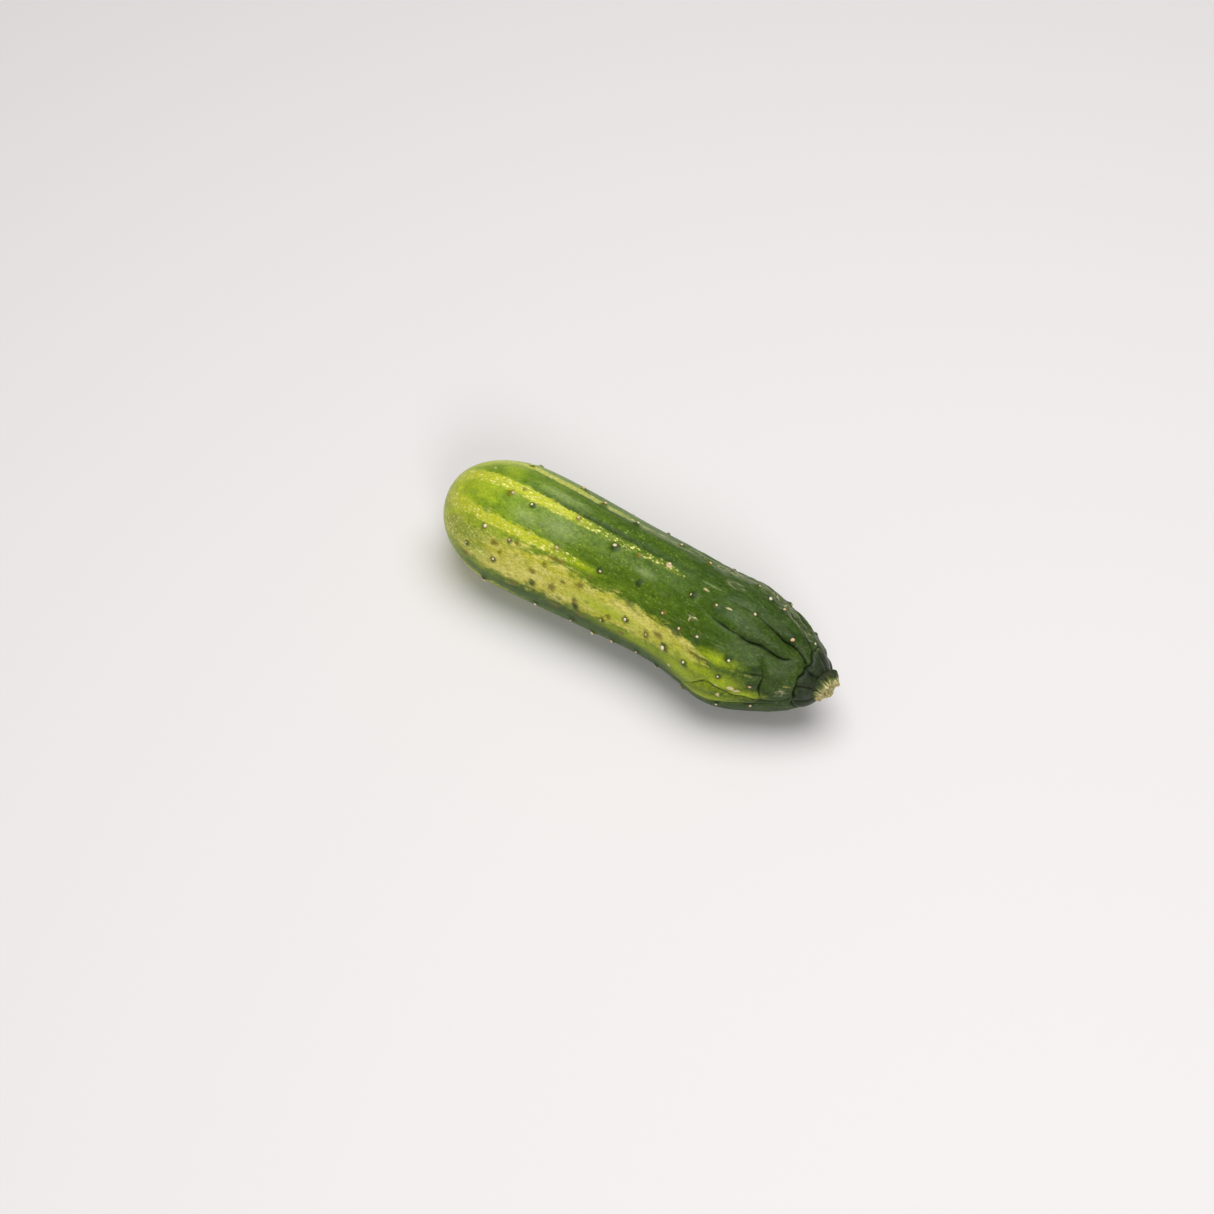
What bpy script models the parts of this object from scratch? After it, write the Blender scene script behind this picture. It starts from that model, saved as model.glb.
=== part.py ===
"""A field cucumber, as picked, lying on its side. Metres, +Z up, +X towards the stem end.

The fruit grew as one piece, so it is one object: a bent, waisted body with a soft three-sided
section, warts in rows, folds that gather at the stem end, the cut stump of the stalk, and the
small round scar where the flower fell off. The origin is under the middle of the whole fruit.
"""

import math
import random

import bmesh
import bpy
from mathutils import Matrix, Vector

# The body. Places along the fruit are measured from the blossom end.
LENGTH = 0.170  # blossom end to the skin round the stalk
WAIST_RADIUS = 0.0221
BLOSSOM_BULGE = 0.0021  # how much fuller than the waist the blossom half is
BLOSSOM_BULGE_AT = 0.0365
BLOSSOM_BULGE_REACH = 0.0385
SHOULDER_BULGE = 0.0022  # the same for the shoulder before the stem end
SHOULDER_FROM_STEM = 0.0400
SHOULDER_BULGE_REACH = 0.0125
BLOSSOM_DOME = 0.0345  # how far the rounding of each end reaches
BLOSSOM_ROUNDNESS = 2.2
STEM_DOME = 0.0375
STEM_ROUNDNESS = 1.74
LOBES = 3  # soft sides, one of them underneath
LOBE_SHARE = 0.02
BEND = 0.0034  # how far the shoulder bows towards -Y
BEND_REACH = 0.022
DROOP = 0.0021  # how far the stem end turns down and towards -Y
DROOP_REACH = 0.026
DROOP_WAY = Vector((0, -0.8, -0.6))

# Folds that gather round the stalk.
FOLDS = 5
FOLD_DEPTH = 0.0009
FOLD_REACH = 0.030

# Warts, in lengthwise rows that grow closer towards the stem end.
WART_ROWS = 10
FIRST_ROW = math.radians(9)
ROW_WANDER = math.radians(10)
WART_RADIUS = 0.0023
WART_TIP_RADIUS = 0.0006
WART_HEIGHT = 0.0008
WART_SINK = 0.0010
WART_SIZES = 0.7, 1.2  # smallest and largest, as shares of the sizes above
WART_SPACING = 0.013
WART_GAPS = 0.6, 1.4  # narrowest and widest, as shares of the spacing
WART_GAP_AT_BLOSSOM = 1.4  # how the spacing tightens from one end to the other
WART_GAP_AT_STALK = 0.7
WART_FIRST = 0.022  # the smooth stretch at the blossom end
WART_LAST = 0.010  # the smooth stretch round the stalk
WART_SIDES = 7
WART_SEED = 3585
REST_SECTOR = math.radians(42)  # the underside each side of straight down, worn clear of warts

# The cut stump of the stalk, which flares into the fruit.
STALK_RADIUS = 0.0038
STALK_FOOT_RADIUS = 0.0068
STALK_PROUD = 0.0016
STALK_SINK = 0.0030
STALK_DROP = 0.0010  # how far it sits below and to the -Y side of the fruit's own tip
STALK_TILT = math.radians(20)  # how much more than the fruit it points down and towards -Y
STALK_RIDGES = 5
STALK_RIDGE_SHARE = 0.10

# The scar at the blossom end.
SCAR_RADIUS = 0.0035
SCAR_DEPTH = 0.0006

REST_CUT = 0.0003  # depth of the flat where the fruit rests on the surface
CUTTER_MARGIN = 0.030  # how far the slab that cuts the flat reaches past the fruit

RINGS = 68
SEGMENTS = 42


def hump(place, middle, reach):
    """A smooth bump of height 1 over the middle, fading either side."""
    return math.exp(-(((place - middle) / reach) ** 2))


def dome(share, roundness):
    """0 at the tip to 1 where the rounding of an end stops."""
    share = min(max(share, 0.0), 1.0)
    return (1 - (1 - share) ** roundness) ** (1 / roundness)


def girth(along):
    """The mean radius of the fruit at a place along it."""
    radius = WAIST_RADIUS
    radius += BLOSSOM_BULGE * hump(along, BLOSSOM_BULGE_AT, BLOSSOM_BULGE_REACH)
    radius += SHOULDER_BULGE * hump(along, LENGTH - SHOULDER_FROM_STEM, SHOULDER_BULGE_REACH)
    radius *= dome(along / BLOSSOM_DOME, BLOSSOM_ROUNDNESS)
    return radius * dome((LENGTH - along) / STEM_DOME, STEM_ROUNDNESS)


def middle_line(along):
    """The centre of the section. It slopes so that both bulges touch the surface."""
    shoulder_at = LENGTH - SHOULDER_FROM_STEM
    drop = girth(shoulder_at) - girth(BLOSSOM_BULGE_AT)
    slope = drop / (shoulder_at - BLOSSOM_BULGE_AT)
    height = girth(BLOSSOM_BULGE_AT) + slope * (along - BLOSSOM_BULGE_AT)
    line = Vector((along, -BEND * hump(along, shoulder_at, BEND_REACH), height))
    return line + DROOP_WAY * DROOP * hump(along, LENGTH, DROOP_REACH)


def outwards(around):
    """The direction at an angle round the fruit: 0 faces -Y and a quarter turn faces up."""
    return Vector((0, -math.cos(around), math.sin(around)))


def skin_point(along, around):
    """A point on the skin, without warts."""
    radius = girth(along)
    radius *= 1 + LOBE_SHARE * math.cos(LOBES * (around - math.pi / 2))
    gathered = hump(along, LENGTH, FOLD_REACH) * min(1.0, radius / STALK_FOOT_RADIUS)
    radius -= FOLD_DEPTH * gathered * (0.5 + 0.5 * math.cos(FOLDS * around))
    point = middle_line(along) + outwards(around) * radius
    point.x += SCAR_DEPTH * max(0.0, 1 - (radius / SCAR_RADIUS) ** 2) * (along < BLOSSOM_DOME)
    return point


def skin_normal(along, around):
    """The direction straight out of the skin."""
    step = WART_RADIUS / 2
    lengthwise = skin_point(along + step, around) - skin_point(along - step, around)
    turn = step / WAIST_RADIUS
    crosswise = skin_point(along, around + turn) - skin_point(along, around - turn)
    return lengthwise.cross(crosswise).normalized()


def wart_places():
    """Rows of warts down the fruit, each row uneven and starting at its own place."""
    chance = random.Random(WART_SEED)
    tightening = WART_GAP_AT_BLOSSOM - WART_GAP_AT_STALK
    places = []
    for row in range(WART_ROWS):
        row_angle = 2 * math.pi * row / WART_ROWS + FIRST_ROW
        along = WART_FIRST + WART_SPACING * chance.random()
        while along < LENGTH - WART_LAST:
            around = row_angle + ROW_WANDER * chance.uniform(-1, 1)
            below = math.remainder(around + math.pi / 2, 2 * math.pi)
            size = chance.uniform(*WART_SIZES)
            if abs(below) > REST_SECTOR:
                places.append((along, around, size))
            tightness = WART_GAP_AT_BLOSSOM - tightening * along / LENGTH
            along += WART_SPACING * chance.uniform(*WART_GAPS) * tightness
    return places


def make_object(name, mesh, collection, location):
    thing = bpy.data.objects.new(name, bpy.data.meshes.new(name))
    mesh.to_mesh(thing.data)
    mesh.free()
    collection.objects.link(thing)
    thing.location = location
    return thing


def body_mesh():
    """A sphere whose rings are drawn out along the middle line."""
    mesh = bmesh.new()
    bmesh.ops.create_uvsphere(mesh, u_segments=SEGMENTS, v_segments=RINGS, radius=1)
    for vertex in mesh.verts:
        along = LENGTH * (1 - vertex.co.z) / 2
        around = math.atan2(vertex.co.y, vertex.co.x)
        vertex.co = skin_point(along, around)
    bmesh.ops.recalc_face_normals(mesh, faces=mesh.faces)
    return mesh


def wart_mesh():
    """Every wart is a low blunt cone with its foot sunk in the skin."""
    mesh = bmesh.new()
    for along, around, size in wart_places():
        normal = skin_normal(along, around)
        middle = skin_point(along, around) + normal * (WART_HEIGHT - WART_SINK) * size / 2
        bmesh.ops.create_cone(
            mesh,
            cap_ends=True,
            segments=WART_SIDES,
            radius1=WART_RADIUS * size,
            radius2=WART_TIP_RADIUS * size,
            depth=(WART_HEIGHT + WART_SINK) * size,
            matrix=Matrix.Translation(middle) @ normal.to_track_quat("Z", "Y").to_matrix().to_4x4(),
        )
    return mesh


def stalk_mesh():
    """The stump of a five-ridged stalk, cut square."""
    heading = (Vector((1, 0, 0)) + DROOP_WAY * math.tan(STALK_TILT)).normalized()
    turn = heading.to_track_quat("Z", "Y").to_matrix().to_4x4()
    middle = middle_line(LENGTH) + DROOP_WAY * STALK_DROP
    middle += heading * (STALK_PROUD - STALK_SINK) / 2
    mesh = bmesh.new()
    bmesh.ops.create_cone(
        mesh,
        cap_ends=True,
        segments=4 * STALK_RIDGES,
        radius1=STALK_FOOT_RADIUS,
        radius2=STALK_RADIUS,
        depth=STALK_PROUD + STALK_SINK,
    )
    for vertex in mesh.verts:
        angle = math.atan2(vertex.co.y, vertex.co.x)
        furrow = STALK_RIDGE_SHARE * (0.5 - 0.5 * math.cos(STALK_RIDGES * angle))
        vertex.co.x *= 1 - furrow
        vertex.co.y *= 1 - furrow
    bmesh.ops.transform(mesh, matrix=Matrix.Translation(middle) @ turn, verts=mesh.verts)
    return mesh


def under_the_middle(meshes):
    """What moves the fruit so that the origin is under its middle, on the flat it rests on."""
    points = [vertex.co for mesh in meshes for vertex in mesh.verts]
    lowest = [min(point[axis] for point in points) for axis in range(3)]
    highest = [max(point[axis] for point in points) for axis in range(3)]
    middle = [(low + high) / 2 for low, high in zip(lowest, highest)]
    return Vector((-middle[0], -middle[1], -lowest[2] - REST_CUT))


def add_boolean(target, name, operation, other):
    modifier = target.modifiers.new(name, "BOOLEAN")
    modifier.operation = operation
    modifier.solver = "EXACT"
    modifier.object = other
    other.hide_render = True
    other.display_type = "WIRE"


def rest_cutter_mesh():
    """A slab whose top is the surface that the fruit lies on."""
    mesh = bmesh.new()
    bmesh.ops.create_cube(mesh, size=1)
    width = 2 * (WAIST_RADIUS + BEND)
    size = Vector((LENGTH + 2 * CUTTER_MARGIN, width + 2 * CUTTER_MARGIN, CUTTER_MARGIN))
    bmesh.ops.scale(mesh, vec=size, verts=mesh.verts)
    bmesh.ops.translate(mesh, vec=(0, 0, -size.z / 2), verts=mesh.verts)
    return mesh


def skin_material():
    material = bpy.data.materials.new("cucumber_skin")
    material.use_nodes = True
    shader = material.node_tree.nodes["Principled BSDF"]
    shader.inputs["Base Color"].default_value = (0.07, 0.17, 0.02, 1)
    shader.inputs["Roughness"].default_value = 0.42
    shader.inputs["Metallic"].default_value = 0
    return material


def main():
    for thing in list(bpy.data.objects):
        bpy.data.objects.remove(thing)
    fruit = bpy.data.collections.new("cucumber")
    cutters = bpy.data.collections.new("joined_and_cut")
    for collection in (fruit, cutters):
        bpy.context.scene.collection.children.link(collection)

    meshes = body_mesh(), wart_mesh(), stalk_mesh()
    place = under_the_middle(meshes)
    cucumber = make_object("cucumber", meshes[0], fruit, place)
    warts = make_object("warts", meshes[1], cutters, place)
    stalk = make_object("stalk_stump", meshes[2], cutters, place)
    surface = make_object("rest_cutter", rest_cutter_mesh(), cutters, (0, 0, 0))

    add_boolean(cucumber, "join warts", "UNION", warts)
    add_boolean(cucumber, "join stalk", "UNION", stalk)
    add_boolean(cucumber, "rest flat", "DIFFERENCE", surface)
    cucumber.data.materials.append(skin_material())
    cucumber.data.shade_smooth()


main()
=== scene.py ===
"""A field cucumber lying on a pale floor: its skin, spine stubs, stalk stump and flower scar.

Lengths are in metres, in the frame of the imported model: +X towards the stem end and +Z up. The
fruit is first grown straight, on a line along +X, and then bent and laid where the model says.
"""

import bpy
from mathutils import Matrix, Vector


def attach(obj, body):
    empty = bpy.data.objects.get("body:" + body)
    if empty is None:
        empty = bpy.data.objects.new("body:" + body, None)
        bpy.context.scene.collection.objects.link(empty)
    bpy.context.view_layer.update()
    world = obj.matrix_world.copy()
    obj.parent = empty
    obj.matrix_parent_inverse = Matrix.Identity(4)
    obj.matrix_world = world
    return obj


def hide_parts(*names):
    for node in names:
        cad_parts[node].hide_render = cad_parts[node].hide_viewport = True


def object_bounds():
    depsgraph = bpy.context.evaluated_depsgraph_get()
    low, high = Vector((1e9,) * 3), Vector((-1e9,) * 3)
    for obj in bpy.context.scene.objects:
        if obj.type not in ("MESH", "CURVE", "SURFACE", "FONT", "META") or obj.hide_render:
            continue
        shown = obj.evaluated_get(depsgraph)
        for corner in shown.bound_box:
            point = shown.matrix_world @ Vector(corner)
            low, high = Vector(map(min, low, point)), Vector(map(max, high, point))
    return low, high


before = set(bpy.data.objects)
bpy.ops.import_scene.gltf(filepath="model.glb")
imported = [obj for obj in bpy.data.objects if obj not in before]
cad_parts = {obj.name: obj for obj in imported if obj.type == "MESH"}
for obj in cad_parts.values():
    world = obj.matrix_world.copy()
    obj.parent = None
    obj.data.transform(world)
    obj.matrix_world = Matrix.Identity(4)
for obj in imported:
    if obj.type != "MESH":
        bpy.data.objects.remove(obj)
model_box = [list(corner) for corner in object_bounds()]

import math
import random

import bmesh
import bpy
import numpy as np
from mathutils import Matrix, Vector, noise

# ---------------------------------------------------------------- the skin
# The skin is the outside of the whole fruit: a thin waxy rind, grown in one piece with the flesh.
# It is a ball drawn out along the fruit. Its folds, furrows and warts are raised and sunk in it,
# and the flats are where the fruit's own weight presses it on the surface.

MM = 0.001

LENGTH = 0.170  # blossom end to the skin round the stalk
WAIST_RADIUS = 0.0221
BLOSSOM_BULGE = 0.0021
BLOSSOM_BULGE_AT = 0.0365
BLOSSOM_BULGE_REACH = 0.0385
SHOULDER_BULGE = 0.0022
SHOULDER_FROM_STEM = 0.0400
SHOULDER_BULGE_REACH = 0.0125
BLOSSOM_DOME = 0.0345
BLOSSOM_ROUNDNESS = 2.2
STEM_DOME = 0.0375
STEM_ROUNDNESS = 1.74
LOBE_SHARE = 0.02
BEND = 0.0034
BEND_REACH = 0.022
DROOP = 0.0021
DROOP_REACH = 0.026
DROOP_WAY = np.array([0, -0.8, -0.6])
REST_CUT = 0.0003
GATHERS = 5
GATHER_DEPTH = 0.0009
GATHER_REACH = 0.030
GATHER_LEAST_RADIUS = 0.0068
SCAR_RADIUS = 0.0035
SCAR_DEPTH = 0.0006

SKIN_RINGS = 400
SKIN_SEGMENTS = 224


def hump(place, middle, reach):
    """A smooth bump of height 1 over the middle, fading either side."""
    return np.exp(-(((place - middle) / reach) ** 2))


def dome(share, roundness):
    """0 at the tip to 1 where the rounding of an end stops."""
    share = np.clip(share, 0, 1)
    return (1 - (1 - share) ** roundness) ** (1 / roundness)


def between(value, low, high):
    """Goes smoothly from 0 to 1 as the value goes from low to high."""
    share = np.clip((value - low) / (high - low), 0, 1)
    return share * share * (3 - 2 * share)


def girth(along):
    """The mean radius of the fruit at a place along it."""
    radius = WAIST_RADIUS + BLOSSOM_BULGE * hump(along, BLOSSOM_BULGE_AT, BLOSSOM_BULGE_REACH)
    radius = radius + SHOULDER_BULGE * hump(along, LENGTH - SHOULDER_FROM_STEM, SHOULDER_BULGE_REACH)
    radius = radius * dome(along / BLOSSOM_DOME, BLOSSOM_ROUNDNESS)
    return radius * dome((LENGTH - along) / STEM_DOME, STEM_ROUNDNESS)


def straight_skin(along, around):
    """Points on the skin of the straight fruit. Around is 0 facing -Y and a quarter turn facing up."""
    radius = girth(along) * (1 + LOBE_SHARE * np.cos(3 * (around - math.pi / 2)))
    gathered = hump(along, LENGTH, GATHER_REACH) * np.minimum(1, radius / GATHER_LEAST_RADIUS)
    radius = radius - GATHER_DEPTH * gathered * (0.5 + 0.5 * np.cos(GATHERS * around))
    hollow = SCAR_DEPTH * np.clip(1 - (radius / SCAR_RADIUS) ** 2, 0, 1) * (along < BLOSSOM_DOME)
    return np.stack([along + hollow, -radius * np.cos(around), radius * np.sin(around)], axis=-1)


def bent(points):
    """Bends points of the straight fruit, and lifts them so that both bulges touch the surface."""
    along = points[..., 0]
    shoulder_at = LENGTH - SHOULDER_FROM_STEM
    slope = (girth(shoulder_at) - girth(BLOSSOM_BULGE_AT)) / (shoulder_at - BLOSSOM_BULGE_AT)
    moved = points.copy()
    moved[..., 1] -= BEND * hump(along, shoulder_at, BEND_REACH)
    moved[..., 2] += girth(BLOSSOM_BULGE_AT) + slope * (along - BLOSSOM_BULGE_AT)
    return moved + DROOP * hump(along, LENGTH, DROOP_REACH)[..., None] * DROOP_WAY


# Folds where the skin gathered as the stem end stopped growing. Each is a line of places: in
# millimetres along the fruit, in degrees round it, and how deep the fold is there in millimetres.
FOLDS = [
    [(119, 68, 0), (127, 63.5, 0.5), (133, 61, 0.9), (138, 60, 0.7), (143, 59, 1.4), (148, 60.5, 1.9),
     (153, 58, 1.7), (156, 60, 0.9), (158, 66, 0)],
    [(128, 86, 0), (133, 84, 0.4), (141, 85, 0.5), (148, 83, 1.0), (153, 81.5, 1.6), (157, 83, 1.2),
     (160, 79, 0.9), (162, 73, 1.3)],
    [(149, 54, 0), (149.5, 43, 0.6), (151.5, 30, 0.9), (151, 15, 0.9), (151.3, 3, 0.8), (152.5, -8, 0.4)],
    [(142, 28.5, 0), (147, 27.5, 0.7), (151, 28.5, 0.7)],
    [(118, -20, 0.5), (125, -9, 0.4), (131, 3, 0.7), (133.5, 6, 0.8), (138, 1, 0.9), (143, -4, 0.9),
     (149, -8, 0.8), (154, -9, 0.7), (159, -5, 0.6), (162, 1, 0.5)],
    [(120, 25, 0), (127, 26.5, 0.4), (132, 25.5, 0.5), (134.5, 18, 0.4), (133.5, 8, 0.3)],
    [(112, -16, 0.2), (122, -18, 0.8), (134, -19, 1.0), (144, -19, 1.0), (152, -17, 0.7), (158, -15, 0.1)],
    [(126, 133, 0), (137, 126, 0.6), (148, 122, 0.9), (155, 112, 1.1), (160, 102, 1.0), (163, 97, 0.4)],
    [(140, 150, 0), (148, 143, 0.8), (156, 128, 0.9), (162, 119, 0.4)],
    [(128, 108, 0), (139, 106, 0.3), (150, 107, 0.3), (157, 104, 0)],
    [(132, 160, 0), (142, 163, 0.8), (153, 158, 0.8), (162, 161, 0.3)],
    [(121, 187, 0), (131, 192, 0.9), (143, 190, 1.2), (156, 196, 0.9), (163, 193, 0.3)],
    [(138, 222, 0), (149, 219, 0.9), (163, 226, 0.4)],
    [(126, 247, 0), (138, 251, 0.8), (150, 247, 0.9), (163, 252, 0.3)],
    [(137, 284, 0), (148, 289, 0.9), (163, 286, 0.4)],
    [(131, 312, 0), (145, 309, 0.9), (163, 315, 0.3)],
    [(36, 89.5, 0), (52, 88.7, 0.35), (72, 89, 0.5), (90, 88.5, 0.4), (108, 89, 0)],
    [(162.5, 64, 0.9), (165, 61, 0.9), (167.5, 62, 0.6), (169, 58, 0.2)],
    [(162.5, 24, 0.8), (165, 28, 0.8), (167.5, 24, 0.6), (169, 26, 0.2)],
    [(162.5, -12, 0.9), (165.5, -16, 0.8), (168.5, -14, 0.3)],
    [(162.5, 112, 0.8), (165, 108, 0.8), (168.5, 113, 0.3)],
    [(162.5, 170, 0.8), (165.5, 166, 0.8), (168.5, 171, 0.3)],
    [(162.5, 232, 0.8), (165.5, 236, 0.8), (168.5, 233, 0.3)],
    [(162.5, 290, 0.8), (165.5, 287, 0.8), (168.5, 291, 0.3)],
]
FOLD_SEED = 7
FOLD_WANDER = 0.45 * MM
FOLD_UNEVENNESS = 0.45
FOLD_OVERHANG = 0.55 * MM  # how far the steep upper side of a fold reaches from its bottom
FOLD_SLOPE = 1.1 * MM  # and the gentler lower side
FOLD_ROLL_AT = 2.4 * MM  # the rolls either side of a fold, and their heights as shares of its depth
FOLD_ROLL_REACH = 1.9 * MM
FOLD_ROLL_ABOVE = 0.36
FOLD_ROLL_BELOW = 0.16
# The dark in the folds and the collar is painted shade, laid where their own shadow falls.
FOLD_SHADE_REACH = 0.38 * MM  # how far the dark in a fold spreads
FOLD_SHADE_ABOVE = 0.8  # shares of that reach, on the upper side and on the lower side
FOLD_SHADE_BELOW = 1.3
FOLD_HOLD = 9 * MM  # no fold is felt further away than this
COLLAR_AT = 0.1622
COLLAR_DEPTH = 1.3 * MM
COLLAR_REACH = 0.6 * MM
COLLAR_ROLL = 0.3 * MM  # the low swelling before the collar, how far before it, and its reach
COLLAR_ROLL_BACK = 3.0 * MM
COLLAR_ROLL_REACH = 2.4 * MM
KNOB_SWELL = 0.55 * MM
KNOB_AT = 0.1655
KNOB_REACH = 0.0026
# Broad swellings and hollows between the folds: place in millimetres, angle in degrees, reach in
# millimetres and in degrees, and height in millimetres.
SWELLINGS = [
    (142, 71, 15, 9, 0.75),
    (138, 51, 14, 6, -0.35),
    (157, 24, 4, 28, 0.5),
    (145, 15, 5, 12, 0.35),
    (136, -9, 9, 8, 0.45),
    (112, 100, 12, 9, 0.3),
    (150, 104, 12, 9, 0.45),
    (147, 150, 14, 10, 0.5),
    (149, 206, 12, 14, 0.55),
    (146, 236, 11, 10, 0.5),
    (151, 268, 9, 14, 0.45),
    (148, 300, 12, 12, 0.5),
    (75, 62, 22, 9, 0.25),
]


def smooth_line(places, steps):
    """A smooth run through hand-set places, with this many steps between each two."""
    places = np.array(places, float)
    before = 2 * places[:1] - places[1:2]
    after = 2 * places[-1:] - places[-2:-1]
    spread = np.vstack([before, places, after])
    share = np.linspace(0, 1, steps, endpoint=False)[:, None]
    runs = []
    for a, b, c, d in zip(spread, spread[1:], spread[2:], spread[3:]):
        run = 2 * b + (c - a) * share + (2 * a - 5 * b + 4 * c - d) * share**2
        runs.append((run + (3 * b - a - 3 * c + d) * share**3) / 2)
    return np.vstack([*runs, places[-1:]])


def fold_line(places, number):
    """A fold on the straight skin, wandering a little from its places, and its depth down it."""
    line = smooth_line(places, 8)
    on_skin = straight_skin(line[:, 0] * MM, np.radians(line[:, 1]))
    depths = np.maximum(line[:, 2], 0)
    for point_number, point in enumerate(on_skin):
        at = Vector((point[0] * 280, number * 7.3, point[1] * 280))
        depths[point_number] *= 1 + FOLD_UNEVENNESS * noise.noise(2 * at)
        point[1:] += FOLD_WANDER * np.array(noise.noise_vector(at)[:2])
    return on_skin, depths


def collar_line():
    """The ring-shaped crease between the fruit's end and the knob round the stalk."""
    around = np.linspace(-math.pi, math.pi, 97)
    along = COLLAR_AT - 0.6 * MM * np.cos(3 * around) + 0.35 * MM * np.sin(5 * around + 1)
    return straight_skin(along + 0.25 * MM * np.sin(13 * around + 2), around)


def near_line(points, line):
    """How far each point is from a line, the nearest place on the line, and its share down it."""
    reach = np.full(len(points), 1.0)
    foot = points.copy()
    down = np.zeros(len(points))
    above = points > line.min(axis=0) - FOLD_HOLD
    below = points < line.max(axis=0) + FOLD_HOLD
    close = np.flatnonzero((above & below).all(axis=1))
    for number, (start, end) in enumerate(zip(line, line[1:])):
        way = end - start
        part = np.clip((points[close] - start) @ way / (way @ way), 0, 1)
        place = start + part[:, None] * way
        far = np.linalg.norm(points[close] - place, axis=1)
        closer = far < reach[close]
        reach[close[closer]] = far[closer]
        foot[close[closer]] = place[closer]
        down[close[closer]] = (number + part[closer]) / (len(line) - 1)
    return reach, foot, down


noise.seed_set(FOLD_SEED)
fold_lines = [fold_line(places, number) for number, places in enumerate(FOLDS)]

grown = bmesh.new()
bmesh.ops.create_uvsphere(grown, u_segments=SKIN_SEGMENTS, v_segments=SKIN_RINGS, radius=1)
ball = np.array([vertex.co for vertex in grown.verts])
straight = straight_skin(LENGTH * (1 - ball[:, 2]) / 2, np.arctan2(ball[:, 1], ball[:, 0]))

# The mesh is drawn in towards each fold, so that it is finest where the skin turns sharply.
DRAW_IN = 0.72
DRAW_REACH = 2.4 * MM
for line in [*(line for line, depths in fold_lines), collar_line()]:
    reach, foot = near_line(straight, line)[:2]
    pull = DRAW_IN * hump(reach, 0, DRAW_REACH)
    straight += (foot - straight) * pull[:, None]


def surface_of(mesh_being_made, points):
    """The directions straight out of a mesh once its points are at these places."""
    for vertex, point in zip(mesh_being_made.verts, points):
        vertex.co = point
    mesh_being_made.normal_update()
    return np.array([vertex.normal for vertex in mesh_being_made.verts])


bmesh.ops.recalc_face_normals(grown, faces=grown.faces)
outwards = surface_of(grown, straight)
along = straight[:, 0]
around = np.arctan2(straight[:, 2], -straight[:, 1])
raised = np.zeros(len(straight))
fold_painted_shade = np.zeros(len(straight))


def turned_from(angle):
    """How far round each point of the skin is from an angle, in radians either way."""
    return (around - angle + math.pi) % (2 * math.pi) - math.pi


# Folds: a sharp furrow under a rounded roll, with a gentler rise on its lower side.
for line, depths in fold_lines:
    reach, foot, down = near_line(straight, line)
    depth = np.interp(down, np.linspace(0, 1, len(depths)), depths)
    above = turned_from(np.arctan2(foot[:, 2], -foot[:, 1])) > 0
    raised -= depth * MM * np.exp(-reach / np.where(above, FOLD_OVERHANG, FOLD_SLOPE))
    roll = np.where(above, FOLD_ROLL_ABOVE, FOLD_ROLL_BELOW)
    raised += roll * depth * MM * hump(reach, FOLD_ROLL_AT, FOLD_ROLL_REACH)
    # Painted shade along the bottom of each fold, reaching further on its lower side.
    spread = np.where(above, FOLD_SHADE_ABOVE, FOLD_SHADE_BELOW)
    fold_painted_shade = np.maximum(fold_painted_shade, np.minimum(depth, 1) * np.exp(-reach / spread / FOLD_SHADE_REACH))

# The collar is deepest on the side turned up and to the front, and uneven all the way round.
reach = near_line(straight, collar_line())[0]
facing = 0.70 + 0.30 * np.cos(around - math.radians(50))
facing *= 1 + 0.25 * np.sin(9 * around) + 0.15 * np.sin(17 * around)
raised -= COLLAR_DEPTH * facing * np.exp(-reach / COLLAR_REACH)
raised += KNOB_SWELL * hump(along, KNOB_AT, KNOB_REACH)
raised += COLLAR_ROLL * hump(along, COLLAR_AT - COLLAR_ROLL_BACK, COLLAR_ROLL_REACH)
# Painted shade in the collar crease as well.
fold_painted_shade = np.maximum(fold_painted_shade, np.minimum(facing, 1) * np.exp(-reach / FOLD_SHADE_REACH))

for place, angle, reach_along, reach_round, height in SWELLINGS:
    far_along = (along - place * MM) / (reach_along * MM)
    far_round = turned_from(math.radians(angle)) / math.radians(reach_round)
    raised += height * MM * np.exp(-(far_along**2) - far_round**2)

# Ten low ribs between the stripes, soft lumps, wrinkles, and the scurf's peeling edges along the
# upper back. The grains say how many lumps, wrinkles or peels a metre holds, along and across.
RIBS = 10
MAIN_STRIPE = math.radians(83)
RIB_HEIGHT = 0.10 * MM
LUMP_HEIGHT = 0.45 * MM
LUMP_GRAIN = np.array([32, 62, 62])
WRINKLE_HEIGHT = 0.10 * MM
WRINKLE_GRAIN = np.array([130, 420, 420])
SCURF_MIDDLE = math.radians(128)
SCURF_REACH = math.radians(20)
SCURF_HEIGHT = 0.38 * MM
SCURF_GRAIN = np.array([90, 380, 380])
middle_share = between(along, 0.006, 0.03) * between(along, LENGTH, LENGTH - 0.02)
raised -= RIB_HEIGHT * middle_share * np.cos(RIBS * (around - MAIN_STRIPE))
stemward = between(along, 0.085, 0.150)
scurfy = between(along, 0.080, 0.115) * between(along, 0.162, 0.152)
scurfy *= hump(turned_from(SCURF_MIDDLE), 0, SCURF_REACH)
for number, point in enumerate(straight):
    lump = noise.noise(Vector(point * LUMP_GRAIN))
    wrinkle = noise.noise(Vector(point * WRINKLE_GRAIN))
    raised[number] += LUMP_HEIGHT * middle_share[number] * lump
    raised[number] += WRINKLE_HEIGHT * (0.25 + 0.75 * stemward[number]) * wrinkle
    if scurfy[number] > 0.02:
        peel = abs(noise.noise(Vector(point * SCURF_GRAIN)))
        raised[number] += SCURF_HEIGHT * scurfy[number] * (1 - 3.5 * peel)

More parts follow.
